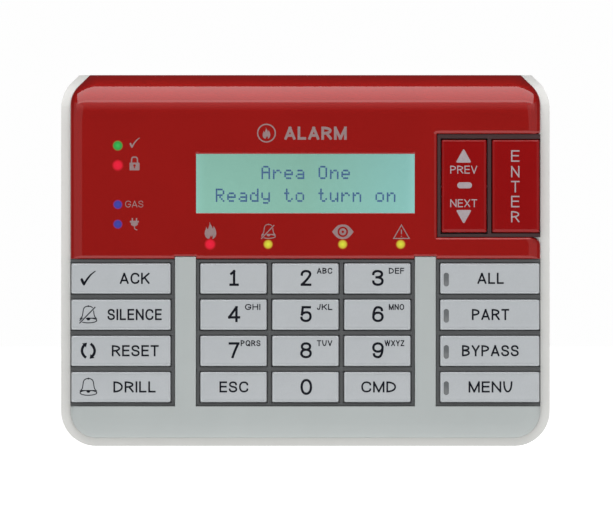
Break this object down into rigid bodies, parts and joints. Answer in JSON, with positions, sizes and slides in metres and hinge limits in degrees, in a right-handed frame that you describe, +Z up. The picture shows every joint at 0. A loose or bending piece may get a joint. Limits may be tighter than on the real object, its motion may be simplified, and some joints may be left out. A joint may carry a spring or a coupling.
{
  "type": "fire alarm keypad",
  "caption": "Wall-mounted fire alarm keypad with a display window, indicator lamps and press keys on a hinged front over a wall plate.",
  "frame": {"origin": "centre of the four wall screw slots, on the wall plane", "axes": "+Z up, +Y into the wall, +X to the right seen from the front, which faces -Y"},
  "size_m": [0.158, 0.026, 0.12],
  "materials": {
    "plate_plastic": "fine spark-eroded texture",
    "housing": "off-white, fine texture",
    "red_fascia": "deep red, glossy, slightly translucent",
    "grey_fascia": "silver grey under a glossy clear skin",
    "clear_lens": "clear window",
    "dark_frame": "dark grey, satin",
    "key_plastic": "silver grey under a glossy clear cap",
    "red_key": "deep red under a glossy clear cap",
    "key_lens": "smoked window",
    "light_guide": "clear moulded rods",
    "steel_sheet": "thin tinned sheet",
    "lcd_glass": "green display cell",
    "backlight": "diffuser block",
    "dark_rubber": "layered contact strip",
    "circuit_board": "green solder mask",
    "silicone": "translucent grey silicone",
    "led_body": "ivory package",
    "black_plastic": "moulded",
    "capacitor_sleeve": "shrunk sleeve",
    "green_plastic": "moulded",
    "grey_plastic": "moulded",
    "white_plastic": "moulded",
    "dial_plastic": "moulded",
    "zinc_screws": "zinc plated"
  },
  "bodies": {
    "wall_base": {"wall_plate": "plate_plastic", "latch_fingers": "plate_plastic"},
    "front_case": {"housing": "housing", "red_fascia": "red_fascia", "lower_fascia": "grey_fascia", "display_lens": "clear_lens", "key_frame_left": "dark_frame", "key_frame_center": "dark_frame", "key_frame_right": "dark_frame", "nav_frame": "dark_frame", "status_light_guide": "light_guide", "alarm_light_guide": "light_guide", "lcd_bezel": "steel_sheet", "lcd_glass": "lcd_glass", "lcd_backlight": "backlight", "lcd_connectors": "dark_rubber", "main_board": "circuit_board", "key_mat": "silicone", "nav_key_mat": "silicone", "indicator_leds": "led_body", "backlight_leds": "led_body", "circuit_chips": "black_plastic", "capacitors": "capacitor_sleeve", "sounder": "black_plastic", "terminal_block": "green_plastic", "terminal_screws": "zinc_screws", "tamper_switch": "black_plastic", "address_switches": "grey_plastic", "board_screws": "zinc_screws"},
    "key_1": {"key_1": "key_plastic"},
    "key_2": {"key_2": "key_plastic"},
    "key_3": {"key_3": "key_plastic"},
    "key_4": {"key_4": "key_plastic"},
    "key_5": {"key_5": "key_plastic"},
    "key_6": {"key_6": "key_plastic"},
    "key_7": {"key_7": "key_plastic"},
    "key_8": {"key_8": "key_plastic"},
    "key_9": {"key_9": "key_plastic"},
    "key_esc": {"key_esc": "key_plastic"},
    "key_0": {"key_0": "key_plastic"},
    "key_cmd": {"key_cmd": "key_plastic"},
    "key_ack": {"key_ack": "key_plastic"},
    "key_silence": {"key_silence": "key_plastic"},
    "key_reset": {"key_reset": "key_plastic"},
    "key_drill": {"key_drill": "key_plastic"},
    "key_all": {"key_all": "key_plastic", "lens_all": "key_lens"},
    "key_part": {"key_part": "key_plastic", "lens_part": "key_lens"},
    "key_bypass": {"key_bypass": "key_plastic", "lens_bypass": "key_lens"},
    "key_menu": {"key_menu": "key_plastic", "lens_menu": "key_lens"},
    "key_enter": {"key_enter": "red_key"},
    "rocker": {"rocker_prev_next": "red_key"},
    "tamper_plunger": {"tamper_plunger": "white_plastic"},
    "dial_tens": {"address_dial_tens": "dial_plastic"},
    "dial_ones": {"address_dial_ones": "dial_plastic"}
  },
  "joints": [
    {"name": "front_hinge", "type": "hinge", "parent": "wall_base", "child": "front_case", "pos_m": [0, -0.0042, 0.0562], "axis": [-1, 0, 0], "range_deg": [0, 25], "deforming": ["latch_fingers"]},
    {"name": "key_1_press", "type": "slide", "parent": "front_case", "child": "key_1", "axis": [0, 1, 0], "range_m": [0, 0.001], "stiffness_N_per_m": 1200, "deforming": ["key_mat"]},
    {"name": "key_2_press", "type": "slide", "parent": "front_case", "child": "key_2", "axis": [0, 1, 0], "range_m": [0, 0.001], "stiffness_N_per_m": 1200, "deforming": ["key_mat"]},
    {"name": "key_3_press", "type": "slide", "parent": "front_case", "child": "key_3", "axis": [0, 1, 0], "range_m": [0, 0.001], "stiffness_N_per_m": 1200, "deforming": ["key_mat"]},
    {"name": "key_4_press", "type": "slide", "parent": "front_case", "child": "key_4", "axis": [0, 1, 0], "range_m": [0, 0.001], "stiffness_N_per_m": 1200, "deforming": ["key_mat"]},
    {"name": "key_5_press", "type": "slide", "parent": "front_case", "child": "key_5", "axis": [0, 1, 0], "range_m": [0, 0.001], "stiffness_N_per_m": 1200, "deforming": ["key_mat"]},
    {"name": "key_6_press", "type": "slide", "parent": "front_case", "child": "key_6", "axis": [0, 1, 0], "range_m": [0, 0.001], "stiffness_N_per_m": 1200, "deforming": ["key_mat"]},
    {"name": "key_7_press", "type": "slide", "parent": "front_case", "child": "key_7", "axis": [0, 1, 0], "range_m": [0, 0.001], "stiffness_N_per_m": 1200, "deforming": ["key_mat"]},
    {"name": "key_8_press", "type": "slide", "parent": "front_case", "child": "key_8", "axis": [0, 1, 0], "range_m": [0, 0.001], "stiffness_N_per_m": 1200, "deforming": ["key_mat"]},
    {"name": "key_9_press", "type": "slide", "parent": "front_case", "child": "key_9", "axis": [0, 1, 0], "range_m": [0, 0.001], "stiffness_N_per_m": 1200, "deforming": ["key_mat"]},
    {"name": "key_esc_press", "type": "slide", "parent": "front_case", "child": "key_esc", "axis": [0, 1, 0], "range_m": [0, 0.001], "stiffness_N_per_m": 1200, "deforming": ["key_mat"]},
    {"name": "key_0_press", "type": "slide", "parent": "front_case", "child": "key_0", "axis": [0, 1, 0], "range_m": [0, 0.001], "stiffness_N_per_m": 1200, "deforming": ["key_mat"]},
    {"name": "key_cmd_press", "type": "slide", "parent": "front_case", "child": "key_cmd", "axis": [0, 1, 0], "range_m": [0, 0.001], "stiffness_N_per_m": 1200, "deforming": ["key_mat"]},
    {"name": "key_ack_press", "type": "slide", "parent": "front_case", "child": "key_ack", "axis": [0, 1, 0], "range_m": [0, 0.001], "stiffness_N_per_m": 1200, "deforming": ["key_mat"]},
    {"name": "key_silence_press", "type": "slide", "parent": "front_case", "child": "key_silence", "axis": [0, 1, 0], "range_m": [0, 0.001], "stiffness_N_per_m": 1200, "deforming": ["key_mat"]},
    {"name": "key_reset_press", "type": "slide", "parent": "front_case", "child": "key_reset", "axis": [0, 1, 0], "range_m": [0, 0.001], "stiffness_N_per_m": 1200, "deforming": ["key_mat"]},
    {"name": "key_drill_press", "type": "slide", "parent": "front_case", "child": "key_drill", "axis": [0, 1, 0], "range_m": [0, 0.001], "stiffness_N_per_m": 1200, "deforming": ["key_mat"]},
    {"name": "key_all_press", "type": "slide", "parent": "front_case", "child": "key_all", "axis": [0, 1, 0], "range_m": [0, 0.001], "stiffness_N_per_m": 1200, "deforming": ["key_mat"]},
    {"name": "key_part_press", "type": "slide", "parent": "front_case", "child": "key_part", "axis": [0, 1, 0], "range_m": [0, 0.001], "stiffness_N_per_m": 1200, "deforming": ["key_mat"]},
    {"name": "key_bypass_press", "type": "slide", "parent": "front_case", "child": "key_bypass", "axis": [0, 1, 0], "range_m": [0, 0.001], "stiffness_N_per_m": 1200, "deforming": ["key_mat"]},
    {"name": "key_menu_press", "type": "slide", "parent": "front_case", "child": "key_menu", "axis": [0, 1, 0], "range_m": [0, 0.001], "stiffness_N_per_m": 1200, "deforming": ["key_mat"]},
    {"name": "key_enter_press", "type": "slide", "parent": "front_case", "child": "key_enter", "axis": [0, 1, 0], "range_m": [0, 0.001], "stiffness_N_per_m": 1200, "deforming": ["nav_key_mat"]},
    {"name": "rocker_tilt", "type": "hinge", "parent": "front_case", "child": "rocker", "pos_m": [0.0513, -0.0226, 0.024], "axis": [1, 0, 0], "range_deg": [-3.5, 3.5], "stiffness_Nm_per_rad": 0.24, "deforming": ["nav_key_mat"]},
    {"name": "tamper_plunger_slide", "type": "slide", "parent": "front_case", "child": "tamper_plunger", "axis": [0, -1, 0], "range_m": [0, 0.0012], "stiffness_N_per_m": 300},
    {"name": "dial_tens_turn", "type": "hinge", "parent": "front_case", "child": "dial_tens", "pos_m": [0.038, -0.008, 0.002], "axis": [0, 1, 0], "continuous": true},
    {"name": "dial_ones_turn", "type": "hinge", "parent": "front_case", "child": "dial_ones", "pos_m": [0.052, -0.008, 0.002], "axis": [0, 1, 0], "continuous": true}
  ]
}
